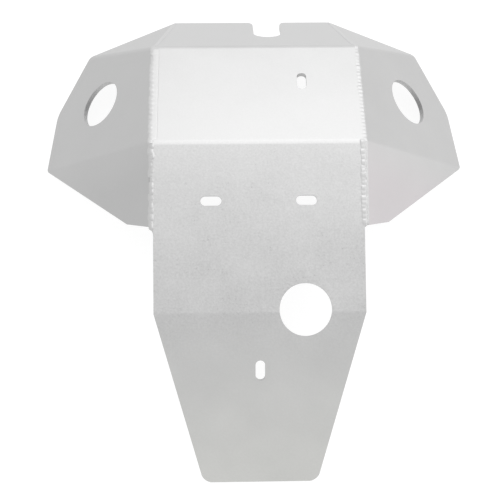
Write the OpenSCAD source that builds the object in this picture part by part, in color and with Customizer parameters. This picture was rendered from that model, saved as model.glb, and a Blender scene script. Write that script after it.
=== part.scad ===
// Motorcycle skid plate: a folded centre plate with a folded wing welded to each side.
// Every piece is drawn with the belly level, then laid down on the wing edges and the tail end,
// road side up. x runs across, y forward to the lip, z to the road side.

/* [Sheet] */
// Thickness of the sheet
sheet_t = 4.76; // [3:0.01:6]
// Inside radius of every fold
bend_r = 6.5; // [3:0.5:10]

/* [Centre plate] */
// Width of the belly and of the front face
plate_w = 203.2; // [190:0.2:230]
// Length of the belly between the front fold and the tail fold
belly_l = 165.3; // [140:0.1:200]
// Length of the front face between its two folds
front_l = 122.3; // [110:0.1:140]
// Angle of the front face to the belly
front_angle = 28.4; // [20:0.1:36]
// Length of the upper lip
lip_l = 99; // [85:0.5:115]
// Angle of the lip to the front face
lip_angle = 33.2; // [24:0.1:38]
// Width of the lip along its top edge
lip_top_w = 167.6; // [140:0.1:180]
// Length of the tail behind its fold
tail_l = 170.6; // [140:0.1:200]
// Angle of the tail to the belly
tail_angle = 16; // [8:0.5:20]
// Width of the tail along its end
tail_end_w = 111.6; // [90:0.1:140]
// Radius of the two tail corners
tail_corner_r = 12; // [4:0.5:20]

/* [Notch in the lip] */
// Width of the notch, which ends in a full round
notch_w = 28.7; // [20:0.1:40]
// Distance of the notch from the centre line
notch_x = 14.6; // [0:0.1:30]
// Depth of the notch below the top edge
notch_depth = 62; // [40:0.5:75]
// Radius of the two corners at its mouth
notch_corner_r = 6; // [2:0.5:10]

/* [Slots and drain hole] */
// Length of each slot
slot_l = 20.2; // [14:0.1:26]
// Width of each slot
slot_w = 9.3; // [6:0.1:12]
// Distance of the belly slots from the centre line
belly_slot_x = 46; // [30:0.5:60]
// Distance of the belly slots behind the front fold
belly_slot_y = 57; // [40:0.5:80]
// Distance of the front slot from the centre line
front_slot_x = 45.5; // [30:0.5:60]
// Distance of the front slot above the front fold
front_slot_y = 75.8; // [60:0.1:90]
// Distance of the tail slot behind the tail fold
tail_slot_y = 57; // [45:0.5:80]
// Diameter of the drain hole
drain_d = 50.5; // [30:0.5:60]
// Distance of the drain hole from the centre line
drain_x = 43.8; // [30:0.1:50]
// Distance of the drain hole behind the front fold
drain_y = 162; // [150:0.5:175]

/* [Wings] */
// Fold of the wing's middle facet from the front face
wing_angle = 43.6; // [36:0.1:50]
// Reach of the top corner up the front face
top_corner_y = 168.3; // [160:0.1:176]
// Reach of the top corner out from the seam
top_corner_x = 97.7; // [90:0.1:106]
// Radius of the top corner
top_corner_r = 20; // [6:1:30]
// Reach of the outer kink up the front face
kink_y = 114; // [108:0.1:120]
// Reach of the outer kink out from the seam
kink_x = 146.7; // [140:0.1:152]
// Radius of the outer kink
kink_r = 28; // [10:1:40]
// Reach of the rear corner up the front face
rear_corner_y = 45.8; // [40:0.1:52]
// Reach of the rear corner out from the seam
rear_corner_x = 157.5; // [150:0.1:165]
// Radius of the rear corner
rear_corner_r = 8; // [3:0.5:14]
// Length of the lower seam along the belly
lower_seam_l = 81.7; // [70:0.1:95]
// Distance of the trailing corner behind the front fold
tip_y = 76.6; // [68:0.1:90]
// Reach of the trailing corner out from the seam
tip_x = 33.4; // [28:0.1:40]
// Radius of the trailing corner
tip_r = 9; // [3:0.5:14]
// Gap left between a wing and the centre plate before welding
fit_gap = 0.1; // [0.05:0.05:0.3]
// Diameter of the round hole
wing_hole_d = 51.2; // [30:0.1:60]
// Distance of the round hole up the front face
wing_hole_y = 91.5; // [80:0.1:100]
// Distance of the round hole out from the seam
wing_hole_x = 76.6; // [65:0.1:85]

/* [Weld beads] */
// Radius of a bead's crown
bead_r = 4.1; // [3.6:0.1:5]
// Distance of the crown's centre out from the root of the seam
bead_rise = 1.9; // [1.2:0.1:2.6]
// Distance that a bead stops short of the root
root_short = 0.4; // [0.2:0.1:1]
// Pitch of the fine ripples
fine_pitch = 4.5; // [3:0.1:7]
// Depth of the fine ripples
fine_depth = 0.4; // [0.1:0.1:0.8]
// Depth of the soft ripples of the left front bead
soft_depth = 0.2; // [0.1:0.1:0.8]
// Pitch of the coarse scallops of the left lower bead
coarse_pitch = 9.4; // [7:0.1:12]
// Depth of the coarse scallops
coarse_depth = 0.9; // [0.3:0.1:1.4]
// Length dressed smooth and low at the top of the right front bead
dressed_l = 14; // [0:1:30]
// Crown left on the dressed length
dressed_crown = 0.4; // [0.2:0.1:0.8]

/* [Hidden] */
$fn = 96;

// Sides of a bead, and rings drawn over each of its ripples
bead_sides = 32;
ripple_steps = 4;
// How far cutting planes and long folds run, and how far a blank overruns the line it is trimmed to
reach = 400;
spare = 10;
// Length of a punch that cuts a hole or rounds a corner
punch_l = 80;
// Flats along each fold of the centre plate
fold_steps = 12;
// How far below the upper fold the sides of the centre plate start to be mitred
miter_l = 4;
// How far a facet runs on into its fold, and a round into the edges that it joins
lap = 0.3;
round_bite = 0.1;
// Rounds of the search for the resting pose
settle_steps = 8;
// A direction in line with no edge of the part, which turns the cutting planes
skew = [0, 1, 0.3];

outer_r = bend_r + sheet_t;
half_w = plate_w / 2;
across = [1, 0, 0];

// Run and outward normal of each facet of the centre plate
belly_run = [0, 1, 0];
belly_n = [0, 0, 1];
front_run = [0, cos(front_angle), -sin(front_angle)];
front_n = cross(across, front_run);
lip_run = [0, cos(front_angle + lip_angle), -sin(front_angle + lip_angle)];
lip_n = cross(across, lip_run);
tail_run = [0, cos(tail_angle), sin(tail_angle)];
tail_n = cross(across, tail_run);

// Sharp outer corners of the centre plate, most of them on its right side
fold_f = half_w * across;
lip_fold = front_l * front_run;
fold_t = fold_f + lip_fold;
lip_corner = lip_top_w / 2 * across + lip_fold + lip_l * lip_run;
tail_fold = -belly_l * belly_run;
tail_side = half_w * across + tail_fold;
tail_corner = tail_end_w / 2 * across + tail_fold - tail_l * tail_run;
tail_side_n = cross(unit(tail_side - tail_corner), tail_n);

// Middle facet of the right wing, measured from the root of the seam, where the inner faces meet
root_f = inner_corner(fold_f, belly_n, front_n);
mid_out = cos(wing_angle) * across - sin(wing_angle) * front_n;
mid_n = cross(mid_out, front_run);
mid_o = root_f + sheet_t * mid_n;
top_corner = on_mid(top_corner_x, top_corner_y);
kink = on_mid(kink_x, kink_y);
rear_corner = on_mid(rear_corner_x, rear_corner_y);

// Rear facet, through the belly's side and the rear corner
rear_lean = rear_corner - mid_o;
rear_out = unit([rear_lean.x, 0, rear_lean.z]);
rear_n = cross(rear_out, belly_run);
rear_o = root_f + sheet_t * rear_n;
tip = rear_o + tip_x * rear_out - (tip_y + root_f.y) * belly_run;
lower_end = rear_o - (lower_seam_l + root_f.y) * belly_run;

// Top facet, through the lip's side edge and the top corner
lip_edge = unit(lip_corner - fold_t);
top_n = unit(cross(top_corner - fold_t, lip_edge));
top_out = cross(lip_edge, top_n);
miter_n = unit(cross(lip_edge, lip_n + top_n));
wing_top = fold_t + lip_edge * ((mid_o - fold_t) * mid_n) / (lip_edge * mid_n);

// Reach of the middle facet's seam edge up to the top fold
wing_top_p = in_plane(wing_top, mid_o, mid_out, front_run);
seam_y = top_corner_y + (wing_top_p.y - top_corner_y) * top_corner_x / (top_corner_x - wing_top_p.x);

// Resting pose, on the two wing kinks and the tail end
kink_arc = arc_centre(top_corner, kink, rear_corner, kink_r) - sheet_t * mid_n;
tail_edge = tail_fold - tail_l * tail_run;
tail_foot = tail_edge - sheet_t * tail_n;
lay_angle = settle(front_angle / 2, settle_steps);
lay_lift = -ground(tail_foot, lay_angle);
lay_shift = -(forward(lip_corner, lay_angle) + forward(tail_edge, lay_angle)) / 2;

function unit(v) = v / norm(v);
function in_plane(p, o, u, v) = [(p - o) * u, (p - o) * v];
function on_mid(out, up) = mid_o + out * mid_out + up * front_run;

// Point below a sharp fold where two faces at a depth under the outer ones meet
function under_fold(p, n_a, n_b, depth) = p - depth * (n_a + n_b) / (1 + n_a * n_b);
function inner_corner(p, n_a, n_b) = under_fold(p, n_a, n_b, sheet_t);
function fold_centre(p, n_a, n_b) = under_fold(p, n_a, n_b, outer_r);

// Distance from a sharp fold to where a wing's facet ends inside the round one
function set_back(n_a, n_b) = outer_r * tan(acos(n_a * n_b) / 2) - lap;

// Round of radius r in the corner p between a and b
function half_angle(a, p, b) = acos(unit(a - p) * unit(b - p)) / 2;
function arc_centre(a, p, b, r) = p + unit(unit(a - p) + unit(b - p)) * r / sin(half_angle(a, p, b));

// Height and reach of a point when the part is turned by a
function ground(p, a) = p.y * sin(a) + p.z * cos(a);
function forward(p, a) = p.y * cos(a) - p.z * sin(a);

// Turn at which the lowest point of the kink's round is level with the tail end
function arc_drop(a) = kink_r * sqrt(1 - pow(ground(mid_n, a), 2));
function settle(a, steps) = steps == 0 ? a : settle(a + atan2(
    ground(tail_foot, a) - ground(kink_arc, a) + arc_drop(a), kink_arc.y - tail_foot.y), steps - 1);

// Side view of the centre plate: the round of each fold, and points at a depth under an outer face
function side_angle(n) = atan2(n.z, n.y);
function fold_arc(p, n_a, n_b, r) = [for (i = [0:fold_steps])
    let (turn = side_angle(n_a) + (side_angle(n_b) - side_angle(n_a)) * i / fold_steps,
        centre = fold_centre(p, n_a, n_b))
    [centre.y + r * cos(turn), centre.z + r * sin(turn)]];
function tail_to_lip(r) = concat(
    fold_arc(tail_fold, tail_n, belly_n, r),
    fold_arc([0, 0, 0], belly_n, front_n, r),
    fold_arc(lip_fold, front_n, lip_n, r));
function side_point(p, n, depth) = [p.y - depth * n.y, p.z - depth * n.z];
function backwards(points) = [for (i = [len(points) - 1:-1:0]) points[i]];

// Lays the part down in its resting pose
module lay_down() translate([0, lay_shift, lay_lift]) rotate([lay_angle, 0, 0]) children();

// Moves a drawing from the XY plane onto the plane of u and v
module onto(o, u, v) multmatrix([for (i = [0:2]) [u[i], v[i], cross(u, v)[i], o[i]], [0, 0, 0, 1]]) children();

// Sheet of full thickness below a flat outline on an outer face
module facet(o, u, v) onto(o - sheet_t * cross(u, v), u, v) linear_extrude(height = sheet_t) children();

// Cuts a flat outline through the sheet whose outer face lies in the plane of u and v
module punch(o, u, v) onto(o - punch_l / 2 * cross(u, v), u, v) linear_extrude(height = punch_l) children();

// Round fold of a wing between two facets whose outer faces meet in a line through p
module bend(p, n_a, n_b, from, to) {
    axis = unit(cross(n_a, n_b));
    onto(fold_centre(p, n_a, n_b) + from * axis, n_a, cross(axis, n_a))
        rotate_extrude(angle = acos(n_a * n_b))
            translate([bend_r, 0]) square([sheet_t, to - from]);
}

// Half plane to the left of the line from p to q, beyond a set-back
module beyond(p, q, gap) {
    turn = atan2(q.y - p.y, q.x - p.x);
    translate(p) rotate(turn) translate([-reach, gap]) square([2 * reach, reach]);
}

// What a round of radius r takes off the corner p between a and b; it bites a little into both edges
module corner_waste(a, p, b, r) {
    inner = r - round_bite;
    leg = inner / tan(half_angle(a, p, b));
    centre = arc_centre(a, p, b, inner);
    difference() {
        polygon([2 * p - centre, p + leg * unit(a - p), p + leg * unit(b - p)]);
        translate(centre) circle(r);
    }
}

// The same through a folded sheet, along the mean of its two normals
module folded_corner_waste(a, p, b, r, n_a, n_b) {
    n = unit(n_a + n_b);
    u = unit(cross(belly_run, n));
    v = cross(n, u);
    punch(p, u, v) corner_waste(in_plane(a, p, u, v), [0, 0], in_plane(b, p, u, v), r);
}

// Part of a folded sheet inside an outline that runs through both facets
module trimmed(points, n_a, n_b) {
    n = unit(n_a + n_b);
    u = unit(cross(belly_run, n));
    v = cross(n, u);
    intersection() {
        children();
        onto(points[0] - reach * n, u, v) linear_extrude(height = 2 * reach)
            polygon([for (p = points) in_plane(p, points[0], u, v)]);
    }
}

// Everything on the far side of the plane through p, away from n
module behind(p, n) {
    u = unit(cross(n, skew));
    onto(p - reach * n, u, cross(n, u)) translate([-reach, -reach, 0]) cube([2 * reach, 2 * reach, reach]);
}

module both_sides() {
    children();
    mirror(across) children();
}

// Slot that runs across, about its middle
module slot() {
    for (end = [-1, 1]) translate([end * (slot_l - slot_w) / 2, 0]) circle(d = slot_w);
    square([slot_l - slot_w, slot_w], center = true);
}

// Notch in the lip, with its mouth rounded out to the lip's edge
module notch() {
    mouth_l = notch_x - notch_w / 2;
    mouth_r = notch_x + notch_w / 2;
    foot = lip_l - notch_depth + notch_w / 2;
    translate([notch_x, foot]) circle(d = notch_w);
    translate([mouth_l, foot]) square([notch_w, lip_l + spare - foot]);
    corner_waste([-half_w, lip_l], [mouth_l, lip_l], [mouth_l, 0], notch_corner_r);
    corner_waste([half_w, lip_l], [mouth_r, lip_l], [mouth_r, 0], notch_corner_r);
}

// Section of the centre plate: its outer side forwards, then its inner side back
module plate_section()
    polygon(concat(
        [side_point(tail_corner, tail_n, 0)],
        tail_to_lip(outer_r),
        [side_point(lip_corner, lip_n, 0), side_point(lip_corner, lip_n, sheet_t)],
        backwards(tail_to_lip(bend_r)),
        [side_point(tail_corner, tail_n, sheet_t)]));

// What is cut off the right side of the lip and its fold, so that it meets the wing in a mitre
module lip_miter() {
    intersection() {
        behind(fold_t, -miter_n);
        behind(fold_t - miter_l * front_run, -front_run);
    }
}

// The folded strip with its sides trimmed, before the tail is tapered and any hole is cut
module plate_blank() {
    difference() {
        onto([-half_w, 0, 0], belly_run, belly_n) linear_extrude(height = plate_w) plate_section();
        both_sides() lip_miter();
    }
}

// What is cut off the tail: its sides, its corners and a slot
module tail_cuts() {
    both_sides() behind(tail_side, -tail_side_n);
    punch(tail_fold, across, tail_run) {
        for (side = [-1, 1])
            corner_waste([0, -tail_l], [side * tail_end_w / 2, -tail_l], [side * half_w, 0], tail_corner_r);
        translate([0, -tail_slot_y]) rotate(90) slot();
    }
}

// Holes cut square to the belly
module belly_holes() {
    punch([0, 0, 0], across, belly_run) {
        for (side = [-1, 1]) translate([side * belly_slot_x, -belly_slot_y]) slot();
        translate([drain_x, -drain_y]) circle(d = drain_d);
    }
}

module plate_sheet() {
    difference() {
        plate_blank();
        punch(lip_fold, across, lip_run) notch();
        punch([0, 0, 0], across, front_run) translate([front_slot_x, front_slot_y]) rotate(90) slot();
        belly_holes();
        tail_cuts();
    }
}

// Middle facet of the right wing, which follows the front face
module mid_facet() {
    k = [top_corner_x, top_corner_y];
    s = [0, seam_y];
    kink_p = [kink_x, kink_y];
    r = [rear_corner_x, rear_corner_y];
    facet(mid_o, mid_out, front_run)
        difference() {
            intersection() {
                polygon([[-spare, -spare], r, kink_p, k, [-spare, front_l + spare]]);
                beyond([0, 0], r, set_back(mid_n, rear_n));
                beyond(k, s, set_back(mid_n, top_n));
            }
            corner_waste(r, kink_p, k, kink_r);
            translate([wing_hole_x, wing_hole_y]) circle(d = wing_hole_d);
        }
}

// Top facet, which follows the lip
module top_facet() {
    k = in_plane(top_corner, fold_t, top_out, lip_edge);
    s = in_plane(wing_top, fold_t, top_out, lip_edge);
    c = in_plane(lip_corner, fold_t, top_out, lip_edge);
    difference() {
        facet(fold_t, top_out, lip_edge)
            intersection() {
                polygon([s, k, c]);
                beyond(s, k, set_back(mid_n, top_n));
            }
        behind(fold_t + fit_gap * miter_n, miter_n);
    }
}

// Rear facet, which follows the belly
module rear_facet() {
    f = in_plane(mid_o, rear_o, rear_out, belly_run);
    r = in_plane(rear_corner, rear_o, rear_out, belly_run);
    p = in_plane(tip, rear_o, rear_out, belly_run);
    e = in_plane(lower_end, rear_o, rear_out, belly_run);
    facet(rear_o, rear_out, belly_run)
        difference() {
            intersection() {
                polygon([e + spare * unit(e - p), p, r, [-spare, spare]]);
                beyond(r, f, set_back(mid_n, rear_n));
            }
            corner_waste(e, p, r, tip_r);
        }
}

module wing_sheet() {
    difference() {
        union() {
            top_facet();
            difference() {
                union() {
                    mid_facet();
                    rear_facet();
                    trimmed([tail_fold, lip_corner, top_corner, kink], mid_n, top_n)
                        bend(top_corner, mid_n, top_n, -reach, reach);
                    trimmed([front_l * front_run, kink, rear_corner, tip, tail_fold], rear_n, mid_n)
                        bend(rear_corner, rear_n, mid_n, -reach, reach);
                }
                behind(root_f + fit_gap * mid_out, mid_out);
                behind(root_f + fit_gap * rear_out, rear_out);
                behind(root_f + fit_gap / 2 * across, across);
            }
        }
        folded_corner_waste(lip_corner, top_corner, kink, top_corner_r, mid_n, top_n);
        folded_corner_waste(kink, rear_corner, tip, rear_corner_r, mid_n, rear_n);
    }
}

// Radius of a dressed bead: just over the sheet corners of its groove
function dressed_r(n_a, n_b) =
    let (half = acos(n_a * n_b) / 2)
    norm([sheet_t * sin(half), sheet_t * cos(half) - bead_rise]) + dressed_crown;

// Radius of a bead at a distance from its nearer end, rounded off towards that end
function round_end(r, end) = sqrt(pow(r, 2) - pow(r - min(end, r), 2));

// Radius of a rippled bead at a distance along it, with one hump to each pitch
function rippled_r(at, pitch, depth) = bead_r - depth * (1 - abs(sin(180 * at / pitch)));

// Weld bead along a seam: a rippled rod that fills the groove from its root outwards
module bead(dir, n_a, n_b, run, pitch, depth, dressed) {
    lean = unit(n_a + n_b);
    length = run + bead_r;
    steps = ceil(length / pitch) * ripple_steps;
    points = [for (i = [1:steps - 1])
        let (at = i * length / steps, smooth = at > length - dressed)
        [round_end(smooth ? dressed_r(n_a, n_b) : rippled_r(at, pitch, depth), min(at, length - at)), at]];
    difference() {
        intersection() {
            onto(root_f + bead_rise * lean - bead_r * dir, lean, cross(dir, lean))
                rotate_extrude($fn = bead_sides) polygon(concat([[0, 0]], points, [[0, length]]));
            behind(root_f + root_short * lean, -lean);
        }
        behind(fold_f, unit(front_run + belly_run) * (dir * belly_run > 0 ? 1 : -1));
        plate_blank();
        wing_sheet();
    }
}

module front_bead(dressed, pitch, depth) bead(front_run, front_n, mid_n, front_l, pitch, depth, dressed);

module lower_bead(pitch, depth) bead(-belly_run, belly_n, rear_n, lower_seam_l, pitch, depth, 0);

module centre_plate() color("silver") lay_down() plate_sheet();
module left_wing() color("darkgray") lay_down() mirror(across) wing_sheet();
module right_wing() color("darkgray") lay_down() wing_sheet();
module left_front_weld() color("gainsboro") lay_down() mirror(across) front_bead(0, fine_pitch, soft_depth);
module left_lower_weld() color("lightgray") lay_down() mirror(across) lower_bead(coarse_pitch, coarse_depth);
module right_front_weld() color("gainsboro") lay_down() front_bead(dressed_l, fine_pitch, fine_depth);
module right_lower_weld() color("lightgray") lay_down() lower_bead(fine_pitch, fine_depth);

centre_plate();
left_wing();
right_wing();
left_front_weld();
left_lower_weld();
right_front_weld();
right_lower_weld();
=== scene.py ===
import math
import random

import bpy
from mathutils import Matrix, Vector


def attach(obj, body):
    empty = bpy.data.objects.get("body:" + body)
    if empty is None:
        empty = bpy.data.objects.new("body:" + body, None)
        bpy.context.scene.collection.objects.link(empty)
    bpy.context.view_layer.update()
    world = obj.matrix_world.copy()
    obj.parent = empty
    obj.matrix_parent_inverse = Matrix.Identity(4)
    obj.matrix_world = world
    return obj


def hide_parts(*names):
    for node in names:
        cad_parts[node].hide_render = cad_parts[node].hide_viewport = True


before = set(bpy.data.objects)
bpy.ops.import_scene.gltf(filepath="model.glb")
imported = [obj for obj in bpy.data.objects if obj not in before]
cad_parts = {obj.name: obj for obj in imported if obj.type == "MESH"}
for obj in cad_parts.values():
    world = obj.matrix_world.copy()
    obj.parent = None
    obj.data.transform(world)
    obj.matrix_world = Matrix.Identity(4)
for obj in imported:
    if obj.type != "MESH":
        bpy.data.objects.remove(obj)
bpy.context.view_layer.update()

print("frame loaded:", ", ".join(sorted(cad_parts)))

# The part lies road side up, turned about its width and lifted from the pose with a level belly
lay = {
    "angle": math.radians(14.1564),
    "forward": 0.0611476,
    "up": 0.130246,
}

# Driving sizes of the folded sheets, as in the construction
folds = {
    "sheet": 0.00476,
    "halfWidth": 0.1016,
    "frontLength": 0.1223,
    "frontAngle": math.radians(28.4),
    "wingAngle": math.radians(43.6),
    "rearLean": math.radians(22.9),
    "seamLength": 0.0817,
}

layTurn = Matrix.Rotation(lay["angle"], 3, "X")
layPlace = Vector((0, lay["forward"], lay["up"]))


def laidPoint(x, y, z):  # from the level pose to the frame
    return layTurn @ Vector((x, y, z)) + layPlace


def laidDirection(x, y, z):
    return (layTurn @ Vector((x, y, z))).normalized()


def selectOnly(piece):
    if bpy.context.object and bpy.context.object.mode != "OBJECT":
        bpy.ops.object.mode_set(mode="OBJECT")
    bpy.ops.object.select_all(action="DESELECT")
    piece.select_set(True)
    bpy.context.view_layer.objects.active = piece


def applyModifier(piece, kind, **settings):
    selectOnly(piece)
    modifier = piece.modifiers.new(kind.lower(), kind)
    for key, value in settings.items():
        setattr(modifier, key, value)
    bpy.ops.object.modifier_apply(modifier=modifier.name)


# Camera at the photograph's viewing angle
shot = {
    "place": (-0.0395, -0.4082, 1.2112),
    "turn": (18.406, -1.240, -1.013),
    "lens": 87.8,
    "sensor": 36,
}


def setCamera():
    bpy.ops.object.camera_add(location=shot["place"], rotation=[math.radians(a) for a in shot["turn"]])
    camera = bpy.context.object
    camera.data.lens = shot["lens"]
    camera.data.sensor_width = shot["sensor"]
    camera.data.sensor_fit = "HORIZONTAL"
    bpy.context.scene.camera = camera
    print("camera set")


# Node helpers
def addNode(tree, kind, **inputs):
    node = tree.nodes.new(kind)
    for key, value in inputs.items():
        if key in node.inputs:
            node.inputs[key].default_value = value
        else:
            setattr(node, key, value)
    return node


def joinNodes(tree, source, output, target, entry):
    tree.links.new(source.outputs[output], target.inputs[entry])


def mathNode(tree, operation, first, second):
    node = addNode(tree, "ShaderNodeMath", operation=operation)
    for slot, value in enumerate((first, second)):
        if isinstance(value, (int, float)):
            node.inputs[slot].default_value = value
        else:
            tree.links.new(value, node.inputs[slot])
    return node.outputs[0]


def rangeNode(tree, value, low, high, toLow, toHigh):
    node = addNode(tree, "ShaderNodeMapRange")
    tree.links.new(value, node.inputs["Value"])
    node.inputs["From Min"].default_value = low
    node.inputs["From Max"].default_value = high
    node.inputs["To Min"].default_value = toLow
    node.inputs["To Max"].default_value = toHigh
    return node.outputs["Result"]


def noiseNode(tree, vector, scale, detail, rough=0.5):
    node = addNode(tree, "ShaderNodeTexNoise", Scale=scale, Detail=detail, Roughness=rough)
    tree.links.new(vector, node.inputs["Vector"])
    return node.outputs["Fac"]


def newGroup(name, entries, exits):
    group = bpy.data.node_groups.new(name, "ShaderNodeTree")
    for label, kind, value in entries:
        socket = group.interface.new_socket(name=label, in_out="INPUT", socket_type=kind)
        if value is not None:
            socket.default_value = value
    for label, kind in exits:
        group.interface.new_socket(name=label, in_out="OUTPUT", socket_type=kind)
    return group, group.nodes.new("NodeGroupInput"), group.nodes.new("NodeGroupOutput")


grainLook = {
    "cloudScale": 22,
    "speckleScale": 520,
    "speckleRough": 0.65,
    "sparkleScale": 520,
    "sparkle": (0.12, 0.3),
}


def makeGrainGroup():  # mill grain: soft clouds, fine speckle, sparkle
    group, start, end = newGroup(
        "millGrain",
        [
            ("Vector", "NodeSocketVector", None),
            ("Cloud", "NodeSocketFloat", 0.03),
            ("Speckle", "NodeSocketFloat", 0.05),
            ("Sparkle", "NodeSocketFloat", 0.06),
        ],
        [("Tone", "NodeSocketFloat"), ("Rough", "NodeSocketFloat"), ("Height", "NodeSocketFloat")],
    )
    vector = start.outputs["Vector"]
    clouds = noiseNode(group, vector, grainLook["cloudScale"], 3)
    cloud = rangeNode(group, clouds, 0.3, 0.7, -1, 1)
    specks = noiseNode(group, vector, grainLook["speckleScale"], 3, grainLook["speckleRough"])
    speckle = rangeNode(group, specks, 0.25, 0.75, -1, 1)
    cells = addNode(group, "ShaderNodeTexVoronoi", Scale=grainLook["sparkleScale"])
    group.links.new(vector, cells.inputs["Vector"])
    sparkle = rangeNode(group, cells.outputs["Distance"], *grainLook["sparkle"], 1, 0)
    cloudTone = mathNode(group, "MULTIPLY", cloud, start.outputs["Cloud"])
    speckleTone = mathNode(group, "MULTIPLY", speckle, start.outputs["Speckle"])
    sparkleTone = mathNode(group, "MULTIPLY", sparkle, start.outputs["Sparkle"])
    tone = mathNode(group, "ADD", mathNode(group, "ADD", cloudTone, speckleTone), sparkleTone)
    group.links.new(mathNode(group, "ADD", tone, 1), end.inputs["Tone"])
    group.links.new(mathNode(group, "ADD", cloudTone, speckleTone), end.inputs["Rough"])
    group.links.new(mathNode(group, "ADD", speckle, sparkle), end.inputs["Height"])
    return group


def newMaterial(name):
    material = bpy.data.materials.new(name)
    material.use_nodes = True
    tree = material.node_tree
    tree.nodes.clear()
    output = tree.nodes.new("ShaderNodeOutputMaterial")
    shader = tree.nodes.new("ShaderNodeBsdfPrincipled")
    joinNodes(tree, shader, "BSDF", output, "Surface")
    coordinates = tree.nodes.new("ShaderNodeTexCoord")
    return material, tree, shader, coordinates.outputs["Object"]


def toneColour(tree, tint, tone):  # a tint made lighter or darker by a tone
    mix = addNode(tree, "ShaderNodeVectorMath", operation="SCALE")
    if isinstance(tint, tuple):
        mix.inputs[0].default_value = tint
    else:
        tree.links.new(tint, mix.inputs[0])
    tree.links.new(tone, mix.inputs["Scale"])
    return mix.outputs[0]


bellyZone = {"front": (0.055, 0.068), "rear": (-0.145, -0.095)}  # along Y, where the grain fades out
sheetLook = {
    "plate": {
        "tint": (0.528, 0.528, 0.528),
        "rear": (0.578, 0.58, 0.564),
        "fade": (-0.10, -0.235),
        "rough": 0.36,
        "cloud": 0.03,
        "speckle": 0.10,
        "sparkle": 0.04,
        "calm": 0.25,
    },
    # The left wing's tint is painted shade: darker than the right wing's, and darker still on its rear facet
    "leftWing": {
        "tint": (0.487, 0.487, 0.487),
        "rear": (0.466, 0.466, 0.466),
        "fade": (0.07, 0.03),
        "rough": 0.42,
        "cloud": 0.02,
        "speckle": 0.02,
        "sparkle": 0.0,
        "calm": 1,
    },
    # The right wing's tint is painted light, lighter than the left wing's; its pinkish rear tint is a painted
    # reflection
    "rightWing": {
        "tint": (0.517, 0.516, 0.515),
        "rear": (0.520, 0.4995, 0.5075),
        "fade": (0.07, 0.03),
        "rough": 0.42,
        "cloud": 0.02,
        "speckle": 0.02,
        "sparkle": 0.0,
        "calm": 1,
    },
}


def makeSheetMaterial(name, look, grain):  # grain strongest on the belly, tint changing towards the rear
    material, tree, shader, place = newMaterial(name)
    split = addNode(tree, "ShaderNodeSeparateXYZ")
    tree.links.new(place, split.inputs[0])
    along = split.outputs["Y"]
    ahead = rangeNode(tree, along, *bellyZone["front"], 1, look["calm"])
    behind = rangeNode(tree, along, *bellyZone["rear"], look["calm"], 1)
    belly = mathNode(tree, "MULTIPLY", ahead, behind)
    mill = addNode(tree, "ShaderNodeGroup")
    mill.node_tree = grain
    tree.links.new(place, mill.inputs["Vector"])
    mill.inputs["Cloud"].default_value = look["cloud"]
    tree.links.new(mathNode(tree, "MULTIPLY", belly, look["speckle"]), mill.inputs["Speckle"])
    tree.links.new(mathNode(tree, "MULTIPLY", belly, look["sparkle"]), mill.inputs["Sparkle"])
    # Blend towards the rear tint: on the left wing this is painted shade, on the right wing a painted pink
    # reflection; on the plate it is a lighter, yellower tone towards the tail
    rear = rangeNode(tree, along, *look["fade"], 0, 1)
    tint = addNode(tree, "ShaderNodeMix", data_type="VECTOR")
    tint.inputs["A"].default_value = look["tint"]
    tint.inputs["B"].default_value = look["rear"]
    tree.links.new(rear, tint.inputs["Factor"])
    colour = toneColour(tree, tint.outputs["Result"], mill.outputs["Tone"])
    tree.links.new(colour, shader.inputs["Base Color"])
    tree.links.new(mathNode(tree, "ADD", mill.outputs["Rough"], look["rough"]), shader.inputs["Roughness"])
    shader.inputs["Metallic"].default_value = 1
    bump = addNode(tree, "ShaderNodeBump", Strength=0.12, Distance=0.0001)
    tree.links.new(mathNode(tree, "MULTIPLY", mill.outputs["Height"], belly), bump.inputs["Height"])
    joinNodes(tree, bump, "Normal", shader, "Normal")
    return material


edgeLook = {"tint": (0.50, 0.50, 0.50), "rough": 0.42, "lines": 900, "lineDepth": 0.10, "stretch": 0.08}


def makeEdgeMaterial():  # sawn and deburred edges with fine lines across the thickness
    material, tree, shader, place = newMaterial("cutEdge")
    stretch = addNode(tree, "ShaderNodeMapping")
    stretch.inputs["Scale"].default_value = (1, 1, edgeLook["stretch"])
    tree.links.new(place, stretch.inputs["Vector"])
    lines = rangeNode(tree, noiseNode(tree, stretch.outputs[0], edgeLook["lines"], 2), 0.3, 0.7, -1, 1)
    tone = mathNode(tree, "ADD", mathNode(tree, "MULTIPLY", lines, edgeLook["lineDepth"]), 1)
    tree.links.new(toneColour(tree, edgeLook["tint"], tone), shader.inputs["Base Color"])
    shader.inputs["Metallic"].default_value = 1
    shader.inputs["Roughness"].default_value = edgeLook["rough"]
    bump = addNode(tree, "ShaderNodeBump", Strength=0.3, Distance=0.0001)
    tree.links.new(lines, bump.inputs["Height"])
    joinNodes(tree, bump, "Normal", shader, "Normal")
    return material


weldLook = {
    "tint": (0.54, 0.54, 0.54),
    "rough": 0.41,
    # The darker tone in the hollows between the ripples is painted shade
    "hollowShade": 0.80,
    "hollowRough": 0.55,
    "hollowRange": (0.40, 0.49),
    "fineScale": 700,
    "fineDepth": 0.04,
    "bumpScale": 900,
}


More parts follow.
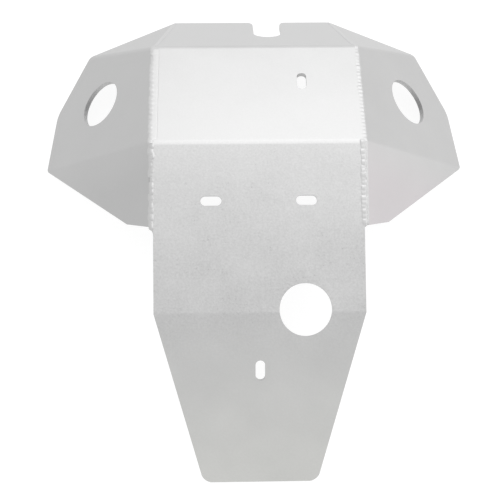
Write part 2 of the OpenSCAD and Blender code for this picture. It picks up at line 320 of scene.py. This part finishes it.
def makeWeldMaterial():  # bright crowns, darker hollows between the ripples
    material, tree, shader, place = newMaterial("weldMetal")
    shape = addNode(tree, "ShaderNodeNewGeometry")
    # Painted shade: the tone drops where pointiness marks a hollow between the ripples, and the roughness rises
    # there
    hollowShade = rangeNode(tree, shape.outputs["Pointiness"], *weldLook["hollowRange"], weldLook["hollowShade"], 1)
    fine = noiseNode(tree, place, weldLook["fineScale"], 3)
    fine = rangeNode(tree, fine, 0.25, 0.75, -weldLook["fineDepth"], weldLook["fineDepth"])
    tone = mathNode(tree, "ADD", hollowShade, fine)
    tree.links.new(toneColour(tree, weldLook["tint"], tone), shader.inputs["Base Color"])
    rough = rangeNode(tree, hollowShade, weldLook["hollowShade"], 1, weldLook["hollowRough"], weldLook["rough"])
    tree.links.new(rough, shader.inputs["Roughness"])
    shader.inputs["Metallic"].default_value = 1
    bump = addNode(tree, "ShaderNodeBump", Strength=0.2, Distance=0.0001)
    tree.links.new(noiseNode(tree, place, weldLook["bumpScale"], 2), bump.inputs["Height"])
    joinNodes(tree, bump, "Normal", shader, "Normal")
    return material


grain = makeGrainGroup()
edgeMaterial = makeEdgeMaterial()
weldMaterial = makeWeldMaterial()
print("materials made")

# Sheets with broken edges, made over the plain nodes
skin = {
    "merge": 5e-6,
    "mergeCut": 6e-5,
    "flat": math.radians(0.4),
    "edge": 0.00035,
    "steps": 2,
    "corner": math.radians(35),
    "smoothBelow": math.radians(22),
    "sameFlat": 0.97,
    "foldSlack": math.radians(4),
}


def mainNormals(mesh, count):  # normals of the largest flats, each with its opposite left out
    areas = {}
    for face in mesh.polygons:
        key = tuple(round(value, 2) for value in face.normal)
        areas[key] = areas.get(key, 0) + face.area
    found = []
    for key in sorted(areas, key=areas.get, reverse=True):
        normal = Vector(key).normalized()
        if all(abs(normal.dot(other)) < skin["sameFlat"] for other in found):
            found.append(normal)
        if len(found) == count:
            break
    return found


def onSheetFace(normal, flats):  # true on a flat and on the folds between two flats
    for one in flats:
        for two in flats:
            for side in (1, -1):
                a = (side * normal).angle(one)
                b = (side * normal).angle(two)
                if a + b < one.angle(two) + skin["foldSlack"]:
                    return True
    return False


def makeSkin(name, node, flatCount, material, shape=None):
    piece = bpy.data.objects.new(name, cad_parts[node].data.copy())
    bpy.context.collection.objects.link(piece)
    selectOnly(piece)
    bpy.ops.mesh.customdata_custom_splitnormals_clear()
    bpy.ops.object.mode_set(mode="EDIT")
    bpy.ops.mesh.select_all(action="SELECT")
    bpy.ops.mesh.remove_doubles(threshold=skin["merge"])
    if shape:
        bpy.ops.object.mode_set(mode="OBJECT")
        shape(piece)
        bpy.ops.object.mode_set(mode="EDIT")
        bpy.ops.mesh.select_all(action="SELECT")
        bpy.ops.mesh.remove_doubles(threshold=skin["mergeCut"])
    bpy.ops.mesh.dissolve_limited(angle_limit=skin["flat"])
    bpy.ops.object.mode_set(mode="OBJECT")
    piece.data.materials.clear()
    piece.data.materials.append(material)
    piece.data.materials.append(edgeMaterial)
    flats = [normal if normal.z > 0 else -normal for normal in mainNormals(piece.data, flatCount)]
    for face in piece.data.polygons:
        face.material_index = 0 if onSheetFace(face.normal, flats) else 1
    applyModifier(piece, "BEVEL", width=skin["edge"], segments=skin["steps"], limit_method="ANGLE",
                  angle_limit=skin["corner"], material=1)
    selectOnly(piece)
    bpy.ops.object.shade_smooth_by_angle(angle=skin["smoothBelow"])
    applyModifier(piece, "WEIGHTED_NORMAL", keep_sharp=True)
    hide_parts(node)
    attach(piece, "root")
    print(name, "made,", len(piece.data.polygons), "faces,", len(flats), "flats")


# The notch's mouth is rounded off towards the edge of the lip
mouth = {
    "edge": (0, 0.24663, 0.02722),  # on the lip's edge, road side
    "run": (0, 0.6762, -0.7367),  # towards the edge
    "face": (0, 0.7367, 0.6762),
    "sides": ((0.00025, -1), (0.02895, 1)),  # place across and the side that the lip is on
    "wide": 0.0055,
    "deep": 0.014,
    "past": (0.001, 0.002),
    "through": 0.02,
    "steps": 96,
}


def makeMouthCutter(across, side):  # the corner that lies outside an oval
    run, face = Vector(mouth["run"]), Vector(mouth["face"])
    centre = Vector(mouth["edge"]) + Vector((across + side * mouth["wide"], 0, 0)) - run * mouth["deep"]
    basis = Matrix((Vector((1, 0, 0)), run, face)).transposed().to_4x4()
    bpy.ops.mesh.primitive_cylinder_add(vertices=mouth["steps"], radius=1, depth=2)
    oval = bpy.context.object
    size = (mouth["wide"], mouth["deep"], mouth["through"])
    oval.matrix_world = Matrix.Translation(centre) @ basis @ Matrix.Diagonal((*size, 1))
    bpy.ops.mesh.primitive_cube_add(size=1)
    corner = bpy.context.object
    size = (mouth["wide"] + mouth["past"][0], mouth["deep"] + mouth["past"][1], mouth["through"])
    middle = centre + Vector((-side * size[0] / 2, 0, 0)) + run * size[1] / 2
    corner.matrix_world = Matrix.Translation(middle) @ basis @ Matrix.Diagonal((*size, 1))
    for form in (oval, corner):
        selectOnly(form)
        bpy.ops.object.transform_apply(location=True, rotation=True, scale=True)
    applyModifier(corner, "BOOLEAN", operation="DIFFERENCE", object=oval, solver="EXACT")
    bpy.data.objects.remove(oval)
    return corner


def roundMouth(piece):
    for across, side in mouth["sides"]:
        cutter = makeMouthCutter(across, side)
        applyModifier(piece, "BOOLEAN", operation="DIFFERENCE", object=cutter, solver="EXACT")
        bpy.data.objects.remove(cutter)


plateMaterial = makeSheetMaterial("plateSheet", sheetLook["plate"], grain)
makeSkin("plateSkin", "centre_plate", 4, plateMaterial, roundMouth)
makeSkin("leftWingSkin", "left_wing", 3, makeSheetMaterial("leftWingShadedSheet", sheetLook["leftWing"], grain))
makeSkin("rightWingSkin", "right_wing", 3, makeSheetMaterial("rightWingLitSheet", sheetLook["rightWing"], grain))

# Weld beads: ripples laid along each seam, then fused into one skin
bead = {"rootShort": 0.0004, "voxel": 0.00035, "smooth": 4, "roundness": 0.62}


def seamFrame(side, lower):  # root, run, lean, plate normal and wing normal, for side -1 or 1
    frontNormal = Vector((0, math.sin(folds["frontAngle"]), math.cos(folds["frontAngle"])))
    belly = Vector((0, 0, 1))
    if lower:
        run, plate, spread = Vector((0, -1, 0)), belly, 2 * folds["rearLean"]
    else:
        run = Vector((0, math.cos(folds["frontAngle"]), -math.sin(folds["frontAngle"])))
        plate, spread = frontNormal, folds["wingAngle"]
    wing = math.cos(spread) * plate + math.sin(spread) * Vector((1, 0, 0))
    inside = folds["sheet"] * (belly + frontNormal) / (1 + belly.dot(frontNormal))
    root = Vector((folds["halfWidth"], 0, 0)) - inside
    mirror = Vector((side, 1, 1))
    lean = (plate + wing).normalized()
    directions = [laidDirection(*(way * mirror)) for way in (run, lean, plate, wing)]
    return [laidPoint(*(root * mirror))] + directions


def makeRippleForm():  # a pad with round edges, copied for every ripple
    bpy.ops.mesh.primitive_cube_add(size=2)
    form = bpy.context.object
    form.name = "rippleForm"
    bpy.ops.object.mode_set(mode="EDIT")
    bpy.ops.mesh.select_all(action="SELECT")
    bpy.ops.mesh.bevel(offset=bead["roundness"], segments=2, affect="EDGES")
    bpy.ops.object.mode_set(mode="OBJECT")
    applyModifier(form, "SUBSURF", levels=2)
    return form


rippleForm = makeRippleForm()


def addRipple(centre, axes, size, tilt):  # axes across, along and up
    ripple = rippleForm.copy()
    ripple.data = rippleForm.data.copy()
    bpy.context.collection.objects.link(ripple)
    turn = Matrix.Rotation(tilt, 3, axes[0])
    scaled = (axes[0] * size[0], turn @ axes[1] * size[1], turn @ axes[2] * size[2])
    basis = Matrix([list(axis) for axis in scaled]).transposed().to_4x4()
    ripple.matrix_world = Matrix.Translation(centre) @ basis
    selectOnly(ripple)
    bpy.ops.object.transform_apply(location=True, rotation=True, scale=True)
    return ripple


def layRipples(dice, start, run, up, inward, length, look):
    ripples = []
    place = look["start"]
    while place < length - look["stop"]:
        rough = 1 if look["roughFrom"] < place < look["roughTo"] else look["calm"]
        thin = look["thin"] if place > length - look["thinLast"] else 1
        wide = look["wide"] * (1 + rough * look["jitter"] * dice.uniform(-1, 1)) * thin
        lift = look["sink"] + rough * look["bump"] * dice.uniform(-1, 1) - look["high"] * (1 - thin)
        centre = start + run * place + up * lift - inward * look["out"] * thin
        centre += inward * rough * look["sway"] * dice.uniform(-1, 1)
        pitch = look["pitch"] * (1 + look["uneven"] * dice.uniform(-1, 1))
        size = (wide, look["pitch"] * look["overlap"], look["high"])
        ripples.append(addRipple(centre, (inward, run, up), size, rough * look["tilt"]))
        place += pitch
    return ripples


def fuseBead(name, ripples, co, no, material):
    for ripple in ripples:
        ripple.select_set(True)
    bpy.context.view_layer.objects.active = ripples[0]
    bpy.ops.object.join()
    piece = bpy.context.object
    piece.name = name
    piece.data.name = name
    applyModifier(piece, "REMESH", mode="VOXEL", voxel_size=bead["voxel"])
    applyModifier(piece, "SMOOTH", factor=0.5, iterations=bead["smooth"])
    selectOnly(piece)
    bpy.ops.object.mode_set(mode="EDIT")
    bpy.ops.mesh.select_all(action="SELECT")
    bpy.ops.mesh.bisect(plane_co=co, plane_no=no, use_fill=True, clear_inner=True)
    bpy.ops.object.mode_set(mode="OBJECT")
    bpy.ops.object.shade_smooth()
    piece.data.materials.clear()
    piece.data.materials.append(material)
    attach(piece, "root")
    print(name, "made,", len(ripples), "ripples,", len(piece.data.polygons), "faces")
    return piece


rippleLook = {
    "start": 0.0028, "stop": 0.002, "pitch": 0.0045, "overlap": 0.82, "uneven": 0.1,  # along the seam
    "wide": 0.0034, "high": 0.0022, "sink": 0.0028, "out": 0.0012,  # across it
    "lean": math.radians(8), "tilt": math.radians(-6),
    "jitter": 0.08, "bump": 0.00015, "sway": 0.0003, "calm": 0.4,  # calm scales these off the rough stretch
    "roughFrom": 0, "roughTo": 1, "thinLast": 0.0, "thin": 1.0,
}
beadLook = {
    "rightFront": dict(rippleLook, seed=3, roughFrom=0.052, roughTo=0.102, sink=0.0027, calm=0.15,
                       start=0.0015, stop=-0.0005, thinLast=0.012, thin=0.9),
    "leftFront": dict(rippleLook, seed=8, pitch=0.0058, calm=1, jitter=0.05, bump=0.0002, sink=0.0032,
                      wide=0.0033, out=0.0014, start=0.0015, stop=0.001, thinLast=0.026, thin=0.9),
    "rightLower": dict(rippleLook, seed=12, wide=0.0033, out=-0.0010, jitter=0.12, bump=0.0002, calm=1,
                       overlap=1.0, tilt=math.radians(-4), start=0.0012, uneven=0.3),
    "leftLower": dict(rippleLook, seed=5, wide=0.0031, out=0.0005, lean=math.radians(14), pitch=0.0045,
                      bump=0.0004, jitter=0.2, sway=0.0006, uneven=0.4, start=0.0012, stop=-0.001, calm=1,
                      overlap=1.0),
}
toeLook = dict(rippleLook, start=0.006, stop=0.005, pitch=0.003, overlap=1.7, wide=0.0036, high=0.0007,
               sink=-0.0002, out=0, tilt=0, jitter=0.02, bump=0.00003, sway=0.0001, inset=0.0012)
wingEdgeLook = dict(toeLook, wide=0.0011, high=0.0010, sink=-0.0003, start=0.002, stop=0.0035)
tail = {
    "long": 0.0011, "high": 0.0022, "lift": 0.0025, "inside": 0.001,
    "reach": ((0.0, 0.0040), (0.0009, 0.0027), (0.0018, 0.0017),  # place along and reach outwards
              (0.0027, 0.0011), (0.0037, 0.0007), (0.0047, 0.0004)),
}
lipLook = dict(toeLook, start=0.006, stop=0.0018, wide=0.0026, high=0.0007, sink=-0.0006)


def makeBead(name, node, side, lower):
    look = beadLook[("left", "right")[side > 0] + ("Front", "Lower")[lower]]
    dice = random.Random(look["seed"])
    root, run, lean, plate, wing = seamFrame(side, lower)
    outward = Vector((side, 0, 0))
    up = math.cos(look["lean"]) * plate + math.sin(look["lean"]) * outward
    inward = math.sin(look["lean"]) * plate - math.cos(look["lean"]) * outward
    length = folds["seamLength"] if lower else folds["frontLength"]
    ripples = layRipples(dice, root, run, up, inward, length, look)
    if side < 0 and not lower:  # wash pass that leaves the toe line on the front face
        toe = root + plate * folds["sheet"] - outward * toeLook["inset"]
        ripples += layRipples(dice, toe, run, plate, -outward, length, toeLook)
    if side < 0 and lower:  # the bead runs out beside the plate behind the wing
        for along, reach in tail["reach"]:
            centre = root + run * (length + along) + plate * tail["lift"] + outward * (reach - tail["inside"]) / 2
            size = ((reach + tail["inside"]) / 2, tail["long"], tail["high"])
            ripples.append(addRipple(centre, (-outward, run, plate), size, 0))
    if side > 0 and lower:  # edge of the wing standing proud of the bead
        edge = root + wing * folds["sheet"]
        ripples += layRipples(dice, edge, run, plate, -outward, length, wingEdgeLook)
    piece = fuseBead(name, ripples, root + lean * bead["rootShort"], lean, weldMaterial)
    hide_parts(node)


lipSeam = {
    "top": (0.08387, 0.24663, 0.02722),
    "low": (0.1012, 0.1815, 0.0982),
    "lipFace": (0, 0.7366, 0.6763),
    "wingFace": (0.338, 0.7329, 0.5904),
    "under": 0.002,
    "seed": 21,
}


def makeLipSeam(name, side):  # low dressed seam between the lip and the wing
    dice = random.Random(lipSeam["seed"])
    mirror = Vector((side, 1, 1))
    top, low, lipFace, wingFace = [
        Vector(lipSeam[key]) * mirror for key in ("top", "low", "lipFace", "wingFace")
    ]
    run = (low - top).normalized()
    up = (lipFace + wingFace).normalized()
    inward = run.cross(up) * side
    ripples = layRipples(dice, top, run, up, inward, (low - top).length, lipLook)
    fuseBead(name, ripples, top - up * lipSeam["under"], up, plateMaterial)


makeBead("rightFrontBead", "right_front_weld", 1, False)
makeBead("leftFrontBead", "left_front_weld", -1, False)
makeBead("rightLowerBead", "right_lower_weld", 1, True)
makeBead("leftLowerBead", "left_lower_weld", -1, True)
makeLipSeam("rightLipSeam", 1)
makeLipSeam("leftLipSeam", -1)
bpy.data.objects.remove(rippleForm)

# Pale floor, white surround and soft lamps
studio = {"floorSize": 12, "floorTone": 0.20, "floorGlow": 0.88, "world": 1.0}


def floorLight(tree):  # white to the camera and in the metal's reflections
    path = tree.nodes.new("ShaderNodeLightPath")
    seen = mathNode(tree, "MAXIMUM", path.outputs["Is Camera Ray"], path.outputs["Is Glossy Ray"])
    seen = mathNode(tree, "MAXIMUM", seen, path.outputs["Is Transmission Ray"])
    return mathNode(tree, "MULTIPLY", seen, studio["floorGlow"])


def makeFloor():
    bpy.ops.mesh.primitive_plane_add(size=studio["floorSize"], location=(0, 0, 0))
    floor = bpy.context.object
    floor.name = "floor"
    material = bpy.data.materials.new("paleFloor")
    material.use_nodes = True
    tree = material.node_tree
    tree.nodes.clear()
    output = tree.nodes.new("ShaderNodeOutputMaterial")
    diffuse = addNode(tree, "ShaderNodeBsdfDiffuse")
    diffuse.inputs["Color"].default_value = (studio["floorTone"],) * 3 + (1,)
    glow = addNode(tree, "ShaderNodeEmission")
    tree.links.new(floorLight(tree), glow.inputs["Strength"])
    both = tree.nodes.new("ShaderNodeAddShader")
    tree.links.new(diffuse.outputs[0], both.inputs[0])
    tree.links.new(glow.outputs[0], both.inputs[1])
    tree.links.new(both.outputs[0], output.inputs["Surface"])
    floor.data.materials.append(material)


def makeWorld():
    world = bpy.data.worlds.new("studioWorld")
    world.use_nodes = True
    world.node_tree.nodes["Background"].inputs["Color"].default_value = (1, 1, 1, 1)
    world.node_tree.nodes["Background"].inputs["Strength"].default_value = studio["world"]
    bpy.context.scene.world = world


lamps = {
    "over": {"place": (0.62, 0.94, 1.3), "aim": (0.62, 0.94, 0), "size": (2.0, 2.0), "power": 10.6},
    "front": {"place": (0.0, 1.75, 0.98), "aim": (0, 0.1, 0.15), "size": (3.2, 2.0), "power": 4.8},
    "right": {"place": (2.2, 0.1, 0.5), "aim": (0, 0, 0.1), "size": (2.0, 2.0), "power": 7},
}


def addLamp(name, look):
    bpy.ops.object.light_add(type="AREA", location=look["place"])
    lamp = bpy.context.object
    lamp.name = name
    lamp.data.shape = "RECTANGLE"
    lamp.data.size, lamp.data.size_y = look["size"]
    lamp.data.energy = look["power"]
    lamp.visible_camera = False
    aim = Vector(look["aim"]) - Vector(look["place"])
    lamp.rotation_euler = aim.to_track_quat("-Z", "Y").to_euler()


setCamera()
makeFloor()
makeWorld()
for name, look in lamps.items():
    addLamp(name, look)
bpy.context.scene.view_settings.view_transform = "Standard"
print("stage set")
